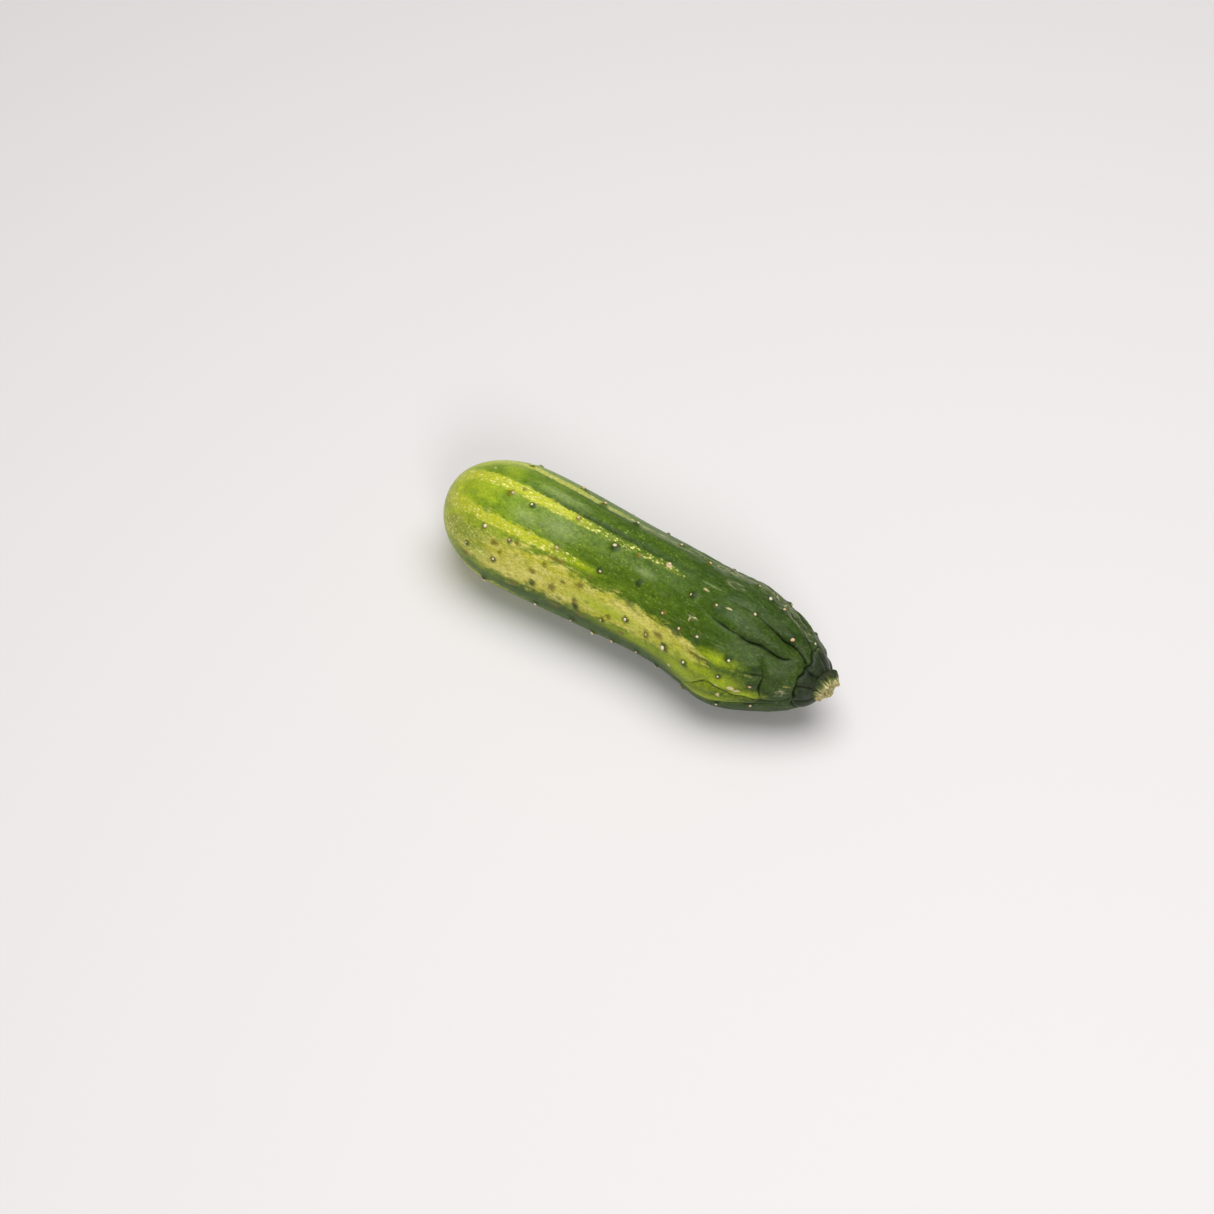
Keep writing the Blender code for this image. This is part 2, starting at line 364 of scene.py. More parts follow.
# Warts, in lengthwise rows. In a row they grow closer together towards the stem end.
WART_ROWS = 10
FIRST_ROW = math.radians(9)
ROW_WANDER = math.radians(10)
WART_SIZES = 0.7, 1.2  # smallest and largest, as shares of the sizes below
WART_SPACING = 0.013
WART_GAPS = 0.6, 1.4  # narrowest and widest, as shares of the spacing
WART_GAP_AT_BLOSSOM = 1.4  # how the spacing tightens from one end to the other
WART_GAP_AT_STALK = 0.7
WART_FIRST = 0.022  # the smooth stretch at the blossom end
WART_LAST = 0.010  # the smooth stretch round the stalk
WART_SEED = 3585
REST_SECTOR = math.radians(42)  # no warts this near to straight down
WART_HEIGHT = 0.78 * MM
WART_FOOT = 1.9 * MM  # reach of the broad foot of a wart, and its share of the height
WART_FOOT_SHARE = 0.55
WART_TIP = 0.75 * MM
WART_TIP_SHARE = 0.70
WART_DIP = 2.9 * MM  # the shallow dip round a wart
WART_DIP_REACH = 0.9 * MM
WART_DIP_SHARE = 0.16
WART_STAIN = 3.2 * MM  # how far its colour spreads
WART_HOLD = 6 * MM  # no wart is felt further along than this
TONE_SEED = 5


def wart_places():
    """Rows of warts down the fruit, each row uneven and starting at its own place."""
    chance = random.Random(WART_SEED)
    tightening = WART_GAP_AT_BLOSSOM - WART_GAP_AT_STALK
    places = []
    for row in range(WART_ROWS):
        row_angle = 2 * math.pi * row / WART_ROWS + FIRST_ROW
        along = WART_FIRST + WART_SPACING * chance.random()
        while along < LENGTH - WART_LAST:
            around = row_angle + ROW_WANDER * chance.uniform(-1, 1)
            below = math.remainder(around + math.pi / 2, 2 * math.pi)
            size = chance.uniform(*WART_SIZES)
            if abs(below) > REST_SECTOR:
                places.append((along, around, size))
            tightness = WART_GAP_AT_BLOSSOM - tightening * along / LENGTH
            along += WART_SPACING * chance.uniform(*WART_GAPS) * tightness
    return places


tone_chance = random.Random(TONE_SEED)
warted = np.zeros(len(straight))
wart_tone = np.zeros(len(straight))
for place, turn, size in wart_places():
    centre = straight_skin(np.array(place), np.array(turn))
    near = np.abs(along - place) < WART_HOLD
    reach = np.linalg.norm(straight[near] - centre, axis=1) / size
    raised[near] += WART_HEIGHT * size * WART_FOOT_SHARE * hump(reach, 0, WART_FOOT)
    raised[near] += WART_HEIGHT * size * WART_TIP_SHARE * hump(reach, 0, WART_TIP)
    raised[near] -= WART_HEIGHT * size * WART_DIP_SHARE * hump(reach, WART_DIP, WART_DIP_REACH)
    closeness = np.clip(1 - reach / WART_STAIN, 0, 1)
    wart_tone[near] = np.where(closeness > warted[near], tone_chance.random(), wart_tone[near])
    warted[near] = np.maximum(warted[near], closeness)

laid = bent(straight + outwards * raised[:, None])
lowest = laid.min(axis=0)
highest = laid.max(axis=0)
to_model = np.array(
    [
        model_box[0][0] - lowest[0],
        (model_box[0][1] + model_box[1][1] - lowest[1] - highest[1]) / 2,
        model_box[0][2] - bent(straight)[:, 2].min() - REST_CUT,
    ]
)
laid += to_model
laid[:, 2] = np.maximum(laid[:, 2], model_box[0][2])
skin_outwards = surface_of(grown, laid)


def finished(mesh_being_made, name):
    """A smooth object of the scene, made from a mesh that has its shape."""
    for face in mesh_being_made.faces:
        face.smooth = True
    piece = bpy.data.objects.new(name, bpy.data.meshes.new(name))
    mesh_being_made.to_mesh(piece.data)
    mesh_being_made.free()
    bpy.context.scene.collection.objects.link(piece)
    return piece


skin = finished(grown, "cucumber_skin")

# What grows on the skin in patches: ten pale stripes with a shade of green after each, and the
# belly patch, where the fruit lay on the ground while it grew. Angles are in degrees.
STRIPES = [
    # angle, where it starts to fade and where its last dots are, how dark the green after it is
    (82.5, 0.050, 0.106, 0.74),
    (118, 0.056, 0.082, 0.65),
    (155, 0.045, 0.095, 0.80),
    (191, 0.055, 0.105, 0.65),
    (227, 0.035, 0.085, 0.90),
    (263, 0.030, 0.075, 0.75),
    (299, 0.035, 0.080, 0.85),
    # The band after this stripe, under the belly, is made darkest as painted shade on the underside.
    (335, 0.020, 0.045, 0.95),
    (371, 0.012, 0.030, 0.25),
    (406.5, 0.044, 0.068, 0.42),
]
STRIPE_HALF_WIDTH = math.radians(5.2)
BELLY_MIDDLE = math.radians(17.5)
BELLY_HALF_WIDTH = math.radians(19.5)
# Marks, listed one by one: place in millimetres, angle in degrees, half length and half width in
# millimetres. A value of 1 is the middle of a mark and 0.5 is its edge.
MARKS = {
    "brown": [
        (22, -1, 2.4, 1.2),
        (35, 28, 1.8, 1.3),
        (38, 21, 1.0, 1.1),
        (44, 37, 1.4, 1.0),
        (53, 18, 1.8, 1.1),
        (57, 30, 1.2, 1.0),
        (61, 39, 4.0, 0.9),
        (62, 11, 1.6, 1.8),
        (66, 22, 1.2, 0.8),
        (73, 26, 1.9, 1.5),
        (76, 39, 0.9, 1.0),
        (72, 8, 1.3, 1.8),
        (87, 9, 1.2, 1.3),
        (94, 14, 1.6, 1.5),
        (109, 19, 2.2, 1.4),
        (46, -4, 2.5, 1.0),
        (64, -8, 2.0, 1.2),
        (75, -5, 2.6, 1.0),
        (93, -3, 1.4, 1.0),
        (36, 84, 1.2, 0.8),
        (28, 300, 3, 2),
        (66, 210, 2, 1.5),
    ],
    "lime": [
        (126, 14, 13, 3.0),
        (137, 8, 8, 4.0),
        (135, 31.5, 7, 2.3),
        (121, 1, 15, 4.4),
        (98, -3, 20, 2.4),
        (146, -2, 6, 2.0),
        (70, 45, 8, 1.4),
        (86, 14, 16, 2.6),
        (131, -14, 12, 3.0),
    ],
    "cream": [
        (38, 6, 20, 2.6),
        (52, 12, 12, 2.8),
        (75, 14, 8, 2.0),
        (100, 21, 14, 3.0),
    ],
    # Deep green, and painted shade: the long marks below the belly darken the underside, and those along
    # the groove at 90 degrees and in the fold at 25 degrees darken these hollows; the others are deep
    # green.
    "deep_green_and_shade": [
        (62, -13, 52, 4.6),
        (120, -26, 30, 3.5),
        (128, 25.5, 6, 0.9),
        (74, 90, 34, 1.2),
        (104, 10, 1.4, 1.4),
        (94, 33, 2.2, 1.6),
        (116, 33, 2.2, 1.6),
        (128, 72, 6, 2.5),
        (70, 111, 30, 0.9),
    ],
    # Wax bloom, and painted highlight: the first marks lie where the overhead light's sheen falls, and the
    # thin one at 88.5 degrees is the light line along a ridge.
    "bloom_and_sheen": [
        (56, 66, 8, 4.2),
        (43, 62, 6, 2.8),
        (50, 97, 10, 2.0),
        (95, 66, 4, 1.4),
        (120, 88.5, 4, 0.4),
        (60, 119, 18, 2.4),
        (90, 200, 12, 5),
        (60, 260, 10, 5),
    ],
    "scuff": [
        (142, 5, 1.3, 0.8),
        (144, 2.5, 1.2, 0.6),
        (137, 5, 0.8, 0.5),
        (138, -6, 0.7, 0.8),
        (116, -5, 0.8, 0.6),
        (124, 36, 1.3, 0.3),
        (119, 82.5, 1.8, 0.4),
        (131, 76, 1.7, 0.3),
        (119, 51, 0.5, 0.9),
        (121, 55, 0.9, 0.4),
        (19, 96, 0.6, 0.6),
        (28, 54, 1.0, 0.3),
        (101, 84, 1.2, 0.8),
        (82, 225, 1.6, 0.5),
        (120, 280, 2.0, 0.4),
    ],
    "scurf": [
        (88, 117, 22, 1.8),
        (118, 121, 18, 2.6),
        (140, 127, 14, 2.4),
        (152, 112, 8, 1.2),
        (127, 101, 4, 1.6),
        (158, 10, 1.7, 1.8),
        (120, 54, 2, 1.0),
        (100, 215, 20, 3),
        (125, 262, 14, 3),
    ],
}

striped = np.full(len(along), -1.0)
stripe_fade = np.zeros(len(along))
shade = np.zeros(len(along))
shade_weight = np.zeros(len(along))
stripe_width = STRIPE_HALF_WIDTH * (1 + 1.2 * hump(along, 0, 0.012) - 0.35 * between(along, 0.045, 0.075))
for angle, solid_end, dots_end, darkness in STRIPES:
    tent = 1 - 0.5 * np.abs(turned_from(math.radians(angle))) / stripe_width
    stripe_fade = np.where(tent > striped, between(along, solid_end + 0.028, solid_end), stripe_fade)
    striped = np.maximum(striped, tent - 0.6 * between(along, dots_end - 0.006, dots_end + 0.008))
    weight = hump(turned_from(math.radians(angle + 18)), 0, math.radians(16))
    shade += weight * darkness
    shade_weight += weight
belly_middle = BELLY_MIDDLE + math.radians(7) * between(along, 0.102, 0.125)
belly_width = 1 - 0.22 * between(along, 0.062, 0.078) - 0.34 * between(along, 0.095, 0.132)
belly = 1 - 0.5 * np.abs(turned_from(0) - belly_middle) / (BELLY_HALF_WIDTH * belly_width)
belly -= 0.7 * between(along, 0.016, 0.004) + 0.6 * between(along, 0.120, 0.140)

painted = {
    "stripe": np.maximum(striped, 0),
    "stripe_fade": stripe_fade,
    "shade": shade / shade_weight,
    "belly": np.maximum(belly, 0),
    "fold": fold_painted_shade,
    "wart": warted,
    "wart_tone": wart_tone,
}
for name, marks in MARKS.items():
    painted[name] = np.zeros(len(along))
    for place, angle, half_length, half_width in marks:
        far_along = (along - place * MM) / (half_length * MM)
        far_round = turned_from(math.radians(angle)) * girth(along) / (half_width * MM)
        tent = 1 - 0.5 * np.hypot(far_along, far_round)
        painted[name] = np.maximum(painted[name], tent)
for name, values in painted.items():
    skin.data.attributes.new(name, "FLOAT", "POINT").data.foreach_set("value", values.astype(np.float32))
lie = skin.data.attributes.new("lie", "FLOAT_VECTOR", "POINT")
lie.data.foreach_set("vector", (straight * 100).astype(np.float32).ravel())


def wire(tree, socket, value):
    """Sets an input, or links it where the value is another node's output."""
    if isinstance(value, bpy.types.NodeSocket):
        tree.links.new(value, socket)
    else:
        socket.default_value = value


def calculate(tree, operation, *values):
    made = tree.nodes.new("ShaderNodeMath")
    made.operation = operation
    for socket, value in zip(made.inputs, values):
        wire(tree, socket, value)
    return made.outputs[0]


def times(tree, value, other):
    return calculate(tree, "MULTIPLY", value, other)


def larger(tree, value, other):
    return calculate(tree, "MAXIMUM", value, other)


def rise(tree, value, low, high, start=0.0, end=1.0):
    """Goes smoothly from start to end as the value goes from low to high."""
    made = tree.nodes.new("ShaderNodeMapRange")
    made.interpolation_type = "SMOOTHSTEP"
    for socket, given in zip(made.inputs, (value, low, high, start, end)):
        wire(tree, socket, given)
    return made.outputs[0]


def cover(tree, share, under, over, way="MIX"):
    """Lays one colour over another, by a share."""
    made = tree.nodes.new("ShaderNodeMix")
    made.data_type = "RGBA"
    made.blend_type = way
    for socket, value in zip((made.inputs[0], made.inputs[6], made.inputs[7]), (share, under, over)):
        wire(tree, socket, value)
    return made.outputs[2]


def attribute(tree, name, output="Fac"):
    made = tree.nodes.new("ShaderNodeAttribute")
    made.attribute_name = name
    return made.outputs[output]


def parts_of(tree, place):
    """The three numbers of a place, one by one."""
    made = tree.nodes.new("ShaderNodeSeparateXYZ")
    tree.links.new(place, made.inputs[0])
    return made.outputs


# Cloudy mottling, from 0 to 1, at a scale of its own in each direction.
mottle = bpy.data.node_groups.new("mottle", "ShaderNodeTree")
mottle.interface.new_socket("Place", in_out="INPUT", socket_type="NodeSocketVector")
mottle.interface.new_socket("Scale", in_out="INPUT", socket_type="NodeSocketVector")
mottle.interface.new_socket("Detail", in_out="INPUT", socket_type="NodeSocketFloat")
mottle.interface.new_socket("Roughness", in_out="INPUT", socket_type="NodeSocketFloat")
mottle.interface.new_socket("Distortion", in_out="INPUT", socket_type="NodeSocketFloat")
mottle.interface.new_socket("Share", in_out="OUTPUT", socket_type="NodeSocketFloat")
given = mottle.nodes.new("NodeGroupInput")
scaled = mottle.nodes.new("ShaderNodeVectorMath")
scaled.operation = "MULTIPLY"
cloud = mottle.nodes.new("ShaderNodeTexNoise")
cloud.inputs["Scale"].default_value = 1
shown = mottle.nodes.new("NodeGroupOutput")
mottle.links.new(given.outputs["Place"], scaled.inputs[0])
mottle.links.new(given.outputs["Scale"], scaled.inputs[1])
mottle.links.new(scaled.outputs[0], cloud.inputs["Vector"])
for name in ("Detail", "Roughness", "Distortion"):
    mottle.links.new(given.outputs[name], cloud.inputs[name])
mottle.links.new(cloud.outputs[0], shown.inputs["Share"])


def patches(tree, place, scale, detail=2.0, roughness=0.5, distortion=0.0):
    """The mottling, placed in a material. The scale is in patches a unit in each direction."""
    made = tree.nodes.new("ShaderNodeGroup")
    made.node_tree = mottle
    for socket, value in zip(made.inputs, (place, scale, detail, roughness, distortion)):
        wire(tree, socket, value)
    return made.outputs["Share"]


def cells(tree, place, scale, feature):
    """Irregular cells, so many a centimetre in each direction."""
    scaled = tree.nodes.new("ShaderNodeVectorMath")
    scaled.operation = "MULTIPLY"
    wire(tree, scaled.inputs[0], place)
    scaled.inputs[1].default_value = scale
    made = tree.nodes.new("ShaderNodeTexVoronoi")
    made.feature = feature
    tree.links.new(scaled.outputs[0], made.inputs["Vector"])
    made.inputs["Scale"].default_value = 1
    return made


def dots(tree, place, scale, size, share):
    """Round dots, one in each cell of the scale, of which only a share are there."""
    made = cells(tree, place, scale, "F1")
    picked = tree.nodes.new("ShaderNodeSeparateColor")
    tree.links.new(made.outputs["Color"], picked.inputs[0])
    bigness = rise(tree, picked.outputs[1], 0, 1, 0.6 * size, 1.2 * size)
    round_dot = rise(tree, calculate(tree, "SUBTRACT", bigness, made.outputs["Distance"]), -0.08, 0.14)
    return times(tree, round_dot, rise(tree, picked.outputs[0], share, share - 0.1))


def new_material(name, roughness):
    """A material with its tree and its shader."""
    material = bpy.data.materials.new(name)
    material.use_nodes = True
    shader = material.node_tree.nodes["Principled BSDF"]
    shader.inputs["Roughness"].default_value = roughness
    return material, material.node_tree, shader


def roughen(tree, shader, height, strength, depth):
    """Makes the fine unevenness of a surface, too small for the mesh, from a height of 0 to 1."""
    bump = tree.nodes.new("ShaderNodeBump")
    bump.inputs["Strength"].default_value = strength
    bump.inputs["Distance"].default_value = depth
    tree.links.new(height, bump.inputs["Height"])
    tree.links.new(bump.outputs[0], shader.inputs["Normal"])


# Colours of the rind, as shares of the red, green and blue light that it gives back.
STRIPE_YELLOW = (0.53, 0.56, 0.03, 1)
STRIPE_GREEN = (0.30, 0.37, 0.02, 1)
DOT_CREAM = (0.78, 0.78, 0.22, 1)
FLECK_GREEN = (0.27, 0.38, 0.04, 1)
DEEP_GREEN_AND_SHADE = (0.028, 0.062, 0.008, 1)
BELLY_CREAM = (0.80, 0.71, 0.21, 1)
BELLY_YELLOW = (0.58, 0.55, 0.06, 1)
BELLY_GREEN = (0.20, 0.30, 0.010, 1)
BELLY_OLIVE = (0.33, 0.34, 0.020, 1)
BARK_BROWN = (0.18, 0.145, 0.014, 1)
LIME = (0.39, 0.49, 0.010, 1)
BLOOM_AND_SHEEN_GREY = (0.36, 0.44, 0.20, 1)
FOLD_PAINTED_SHADE = (0.003, 0.006, 0.002, 1)
WART_GREEN = (0.020, 0.046, 0.008, 1)
SCUFF_TAN = (0.68, 0.55, 0.32, 1)
SCURF_GREY = (0.42, 0.42, 0.25, 1)
KNOB_DARK = (0.012, 0.020, 0.007, 1)
KNOB_GREY = (0.034, 0.046, 0.022, 1)
PIN_GREEN = (0.46, 0.56, 0.10, 1)
# Tints, which the colour under them is multiplied by.
SHADE_TINT = (0.42, 0.56, 0.60, 1)
LIGHT_CLOUD_TINT = (1.7, 1.6, 1.5, 1)
DARK_CLOUD_TINT = (0.5, 0.58, 0.5, 1)
PEBBLE_LIGHT_TINT = (1.18, 1.16, 1.08, 1)
PEBBLE_DARK_TINT = (0.80, 0.83, 0.74, 1)
# The green between the stripes, at shares of the length from the blossom end.
FLANK_GREENS = [
    (0.04, (0.45, 0.53, 0.020, 1)),
    (0.11, (0.36, 0.46, 0.020, 1)),
    (0.19, (0.26, 0.37, 0.018, 1)),
    (0.30, (0.175, 0.27, 0.012, 1)),
    (0.48, (0.105, 0.175, 0.007, 1)),
    (0.62, (0.083, 0.150, 0.005, 1)),
    (0.74, (0.056, 0.110, 0.004, 1)),
    (0.86, (0.039, 0.080, 0.003, 1)),
    (0.96, (0.036, 0.070, 0.004, 1)),
]

rind, tree, shader = new_material("cucumber_rind", 0.42)
shader.inputs["Specular IOR Level"].default_value = 0.21
place = attribute(tree, "lie", "Vector")
along_cm = parts_of(tree, place)[0]

# The flank: green that darkens towards the stem, cloudy, with fine flecks.
wander = patches(tree, place, (0.6, 1.2, 1.2), 2)
shifted = calculate(tree, "ADD", along_cm, rise(tree, wander, 0.25, 0.75, -1.0, 1.0))
flank = tree.nodes.new("ShaderNodeValToRGB")
tree.links.new(calculate(tree, "DIVIDE", shifted, LENGTH * 100), flank.inputs[0])
flank.color_ramp.elements[0].position, flank.color_ramp.elements[0].color = FLANK_GREENS[0]
flank.color_ramp.elements[1].position, flank.color_ramp.elements[1].color = FLANK_GREENS[-1]
for position, colour in FLANK_GREENS[1:-1]:
    flank.color_ramp.elements.new(position).color = colour
past_tip = rise(tree, shifted, 0.8, 3.5)
soft_shade = rise(tree, patches(tree, place, (1.1, 2.4, 2.4), 3, 0.6), 0.3, 0.7, 0.75, 1.2)
darkness = times(tree, attribute(tree, "shade"), past_tip)
darkness = times(tree, darkness, soft_shade)
colour = cover(tree, darkness, flank.outputs[0], SHADE_TINT, "MULTIPLY")
light_cloud = rise(tree, patches(tree, place, (1.6, 3.2, 3.2), 5, 0.7), 0.42, 0.75, 0, 0.6)
colour = cover(tree, light_cloud, colour, LIGHT_CLOUD_TINT, "MULTIPLY")
dark_cloud = rise(tree, patches(tree, place, (3.4, 6.5, 6.5), 5, 0.7), 0.43, 0.70, 0, 0.72)
dark_cloud = times(tree, dark_cloud, past_tip)
colour = cover(tree, dark_cloud, colour, DARK_CLOUD_TINT, "MULTIPLY")
fleck_fade = rise(tree, along_cm, 15, 6, 0.12, 0.7)
fleck_place = rise(tree, patches(tree, place, (0.8, 1.6, 1.6), 1), 0.35, 0.65, 0.25, 1)
fine_fleck = rise(tree, patches(tree, place, (9, 12, 12), 3, 0.7), 0.54, 0.70)
flecks = larger(tree, dots(tree, place, (9, 13, 13), 0.34, 0.4), fine_fleck)
flecks = times(tree, flecks, fleck_place)
colour = cover(tree, times(tree, flecks, fleck_fade), colour, FLECK_GREEN)
pins = dots(tree, place, (4.2, 6.4, 6.4), 0.19, 0.5)
pins = times(tree, pins, rise(tree, along_cm, 14, 9, 0, 0.6))
pins = times(tree, pins, fleck_place)
colour = cover(tree, times(tree, pins, past_tip), colour, PIN_GREEN)
dry_lines = rise(tree, patches(tree, place, (1.1, 18, 18), 4, 0.65, 0.6), 0.52, 0.78)
dry_lines = times(tree, dry_lines, rise(tree, along_cm, 8, 13, 0.04, 0.24))
colour = cover(tree, dry_lines, colour, SCURF_GREY)

# The stripes: yellow, ragged at the edges, fading towards the stem into rows of pale dots.
ragged = patches(tree, place, (2.4, 7, 7), 4, 0.65)
stripe_edge = calculate(tree, "ADD", attribute(tree, "stripe"), rise(tree, ragged, 0.25, 0.75, -0.2, 0.2))
stripe_solid = rise(tree, stripe_edge, 0.36, 0.66)
stripe_fade = rise(tree, attribute(tree, "stripe_fade"), 0, 0.9, 0.12, 1)
stripe_tone = rise(tree, patches(tree, place, (1.4, 6, 6), 3, 0.6), 0.35, 0.65)
stripe_colour = cover(tree, stripe_tone, STRIPE_GREEN, STRIPE_YELLOW)
stripe_colour = cover(tree, times(tree, stripe_fade, 0.75), stripe_colour, STRIPE_YELLOW)
colour = cover(tree, times(tree, stripe_solid, stripe_fade), colour, stripe_colour)

torn_fine = patches(tree, place, (5.5, 10, 10), 5, 0.7)


def mark_share(name, low, high, most, rag=0.25):
    """How much of a kind of listed mark shows, with edges broken by the torn mottling."""
    edge = calculate(tree, "ADD", attribute(tree, name), rise(tree, torn_fine, 0.25, 0.75, -rag, rag))
    return rise(tree, edge, low, high, 0, most)


# The belly patch: cream fibres over green, which shows through as a net near the blossom end.
tangle = tree.nodes.new("ShaderNodeVectorMath")
tangle.operation = "ADD"
wire(tree, tangle.inputs[0], place)
swirl = tree.nodes.new("ShaderNodeTexNoise")
wire(tree, swirl.inputs["Vector"], place)
swirl.inputs["Scale"].default_value = 6
swirl.inputs["Detail"].default_value = 3
shrunk = tree.nodes.new("ShaderNodeVectorMath")
shrunk.operation = "SCALE"
wire(tree, shrunk.inputs[0], swirl.outputs["Color"])
shrunk.inputs["Scale"].default_value = 0.22
wire(tree, tangle.inputs[1], shrunk.outputs[0])
net = cells(tree, tangle.outputs[0], (3.0, 8.0, 8.0), "DISTANCE_TO_EDGE")
lace = rise(tree, patches(tree, place, (5.5, 10, 10), 4, 0.7, 0.8), 0.47, 0.62)
veins = larger(tree, rise(tree, net.outputs["Distance"], 0.24, 0.0, 0, 0.42), lace)
fibres = rise(tree, patches(tree, place, (5, 13, 13), 5, 0.7, 0.8), 0.30, 0.62)
creamy = rise(tree, shifted, 2.0, 4.6, 0.0, 1.0)
cream_share = larger(tree, times(tree, veins, 0.8), times(tree, creamy, fibres))
cream_tone = rise(tree, patches(tree, place, (1.2, 3.2, 3.2), 3, 0.6), 0.38, 0.62)
full_cream = mark_share("cream", 0.15, 0.95, 0.8)
cream_share = larger(tree, cream_share, full_cream)
cream_tone = larger(tree, cream_tone, full_cream)
belly_under = cover(tree, creamy, BELLY_GREEN, BELLY_OLIVE)
belly_colour = cover(tree, cream_share, belly_under, cover(tree, cream_tone, BELLY_YELLOW, BELLY_CREAM))
torn = patches(tree, place, (2.0, 5, 5), 4, 0.65)
belly_edge = calculate(tree, "ADD", attribute(tree, "belly"), rise(tree, torn, 0.25, 0.75, -0.2, 0.2))
belly_share = rise(tree, belly_edge, 0.36, 0.68)
colour = cover(tree, belly_share, colour, belly_colour)
colour = cover(tree, mark_share("lime", 0.1, 1.1, 0.9, 0.14), colour, LIME)
# Deep green, partly painted shade on the underside, in the groove and in a fold.
colour = cover(tree, mark_share("deep_green_and_shade", 0.20, 0.95, 0.75), colour, DEEP_GREEN_AND_SHADE)
dot_share = dots(tree, place, (5.2, 9.5, 9.5), 0.38, 0.55)
spill = rise(tree, patches(tree, place, (6, 11, 11), 3, 0.7), 0.53, 0.64, 0, 0.75)
dot_share = larger(tree, dot_share, spill)
near_stripe = rise(tree, attribute(tree, "stripe"), 0.30, 0.62)
colour = cover(tree, times(tree, dot_share, near_stripe), colour, DOT_CREAM)
colour = cover(tree, mark_share("brown", 0.28, 0.82, 0.88), colour, BARK_BROWN)
small_marks = times(tree, dots(tree, place, (2.6, 4.2, 4.2), 0.30, 0.16), belly_share)
colour = cover(tree, times(tree, small_marks, 0.45), colour, BARK_BROWN)

# The greyish wax on the skin, in clouds, thickest where the listed blooms are. The blooms on the upper
# front are partly a painted highlight, the broad sheen of the overhead light.
cloud = patches(tree, place, (2.2, 4.5, 4.5), 4, 0.65)
wax_and_sheen = larger(tree, mark_share("bloom_and_sheen", 0.05, 1.05, 0.46), rise(tree, cloud, 0.45, 0.85, 0, 0.14))
colour = cover(tree, wax_and_sheen, colour, BLOOM_AND_SHEEN_GREY)

# Warts: dark green round most of them, and brown round the others.
wart = attribute(tree, "wart")
wart_kind = attribute(tree, "wart_tone")
frayed = calculate(tree, "ADD", wart, rise(tree, torn_fine, 0.25, 0.75, -0.16, 0.16))
wart_ring = times(tree, rise(tree, frayed, 0.22, 0.78), rise(tree, wart_kind, 0.15, 0.45, 0.2, 0.88))
colour = cover(tree, wart_ring, colour, WART_GREEN)
wart_brown = times(tree, rise(tree, frayed, 0.45, 0.75), rise(tree, wart_kind, 0.28, 0.12, 0, 0.8))
colour = cover(tree, wart_brown, colour, BARK_BROWN)

# Scuffs, dry and pale, and the painted shade in the bottom of the folds and the collar.
scratch = patches(tree, place, (3, 26, 26), 2, 0.5, 0.6)
scuff_place = patches(tree, place, (1.4, 2.2, 2.2), 1)
scuff = times(tree, rise(tree, scratch, 0.66, 0.72), rise(tree, scuff_place, 0.56, 0.66))
scuff = larger(tree, times(tree, scuff, 0.28), mark_share("scuff", 0.40, 0.66, 0.85, 0.2))
colour = cover(tree, scuff, colour, SCUFF_TAN)
scurf_lines = rise(tree, patches(tree, place, (1.6, 13, 13), 4, 0.7, 0.5), 0.46, 0.62, 0.08, 1)
scurf = times(tree, mark_share("scurf", 0.15, 0.90, 0.78), scurf_lines)
colour = cover(tree, scurf, colour, SCURF_GREY)
pebbling = rise(tree, patches(tree, place, (9, 14, 14), 5, 0.75), 0.36, 0.66)
pebble_tone = cover(tree, pebbling, PEBBLE_LIGHT_TINT, PEBBLE_DARK_TINT)
colour = cover(tree, 1.0, colour, pebble_tone, "MULTIPLY")
knob_cm = COLLAR_AT * 100
knob = rise(tree, along_cm, knob_cm - 0.06, knob_cm + 0.12, 0, 0.9)
colour = cover(tree, knob, colour, cover(tree, rise(tree, cloud, 0.35, 0.7), KNOB_DARK, KNOB_GREY))
# Painted shade: near-black in the bottom of the folds and the collar.
colour = cover(tree, rise(tree, attribute(tree, "fold"), 0.10, 0.80, 0, 0.96), colour, FOLD_PAINTED_SHADE)
tree.links.new(colour, shader.inputs["Base Color"])

dull = rise(tree, wax_and_sheen, 0, 0.4, 0.38, 0.56)
dull = calculate(tree, "MULTIPLY_ADD", belly_share, 0.1, dull)
dull = calculate(tree, "MULTIPLY_ADD", attribute(tree, "fold"), 0.5, dull)
tree.links.new(dull, shader.inputs["Roughness"])

grain = patches(tree, place, (22, 34, 34), 3, 0.6)
lengthwise = patches(tree, place, (3, 26, 26), 3, 0.6)
height = times(tree, grain, 0.35)
height = calculate(tree, "MULTIPLY_ADD", lengthwise, rise(tree, along_cm, 7, 15, 0.15, 0.8), height)
height = calculate(tree, "MULTIPLY_ADD", cream_share, times(tree, belly_share, 0.5), height)
height = calculate(tree, "MULTIPLY_ADD", times(tree, dot_share, near_stripe), 0.5, height)
roughen(tree, shader, height, 0.7, 0.18 * MM)

skin.data.materials.append(rind)
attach(skin, "root")
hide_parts("cucumber")

# ---------------------------------------------------------------- the spine stubs
# On the tip of each wart sits the dry corky stub of a spine, which rubbed off as the fruit was
# handled. It is a hard pale bead half sunk in the skin.

STUB_RADIUS = 0.64 * MM
STUB_SIZES = 0.8, 1.25  # smallest and largest, as shares of the radius
STUB_WIDTHS = 0.75, 1.1  # how wide one is for its length
STUB_FLATNESS = 0.65
STUB_LUMP_SHARE = 0.16
STUB_LUMPS = 1600  # to the metre
BARE_SHARE = 0.12  # warts that have lost their stub
STUB_SEED = 21

